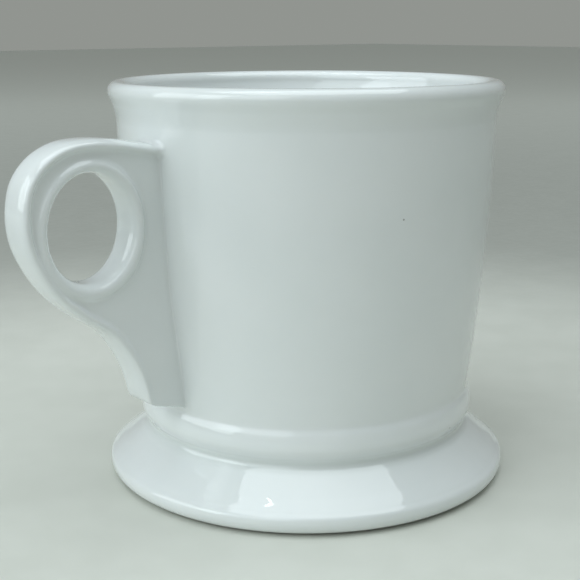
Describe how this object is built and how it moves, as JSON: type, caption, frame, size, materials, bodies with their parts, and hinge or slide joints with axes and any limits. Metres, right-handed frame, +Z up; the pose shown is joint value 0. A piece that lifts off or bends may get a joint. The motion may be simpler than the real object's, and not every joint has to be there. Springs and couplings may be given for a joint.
{
  "type": "shaving mug",
  "caption": "Straight-walled white glazed pottery mug with a rolled rim, a bead above a wide flared foot, and a slab handle with a finger loop.",
  "frame": {"origin": "on the surface that the mug stands on, at the bowl's axis", "axes": "+Z up along the bowl's axis; the handle reaches towards -X in the XZ plane"},
  "size_m": [0.1233, 0.095, 0.092],
  "materials": {
    "white_glaze": "glossy clear glaze over a white body; the ring that touches the table is wiped bare"
  },
  "bodies": {
    "root": {"cup": "white_glaze", "foot": "white_glaze", "handle": "white_glaze"}
  },
  "joints": []
}
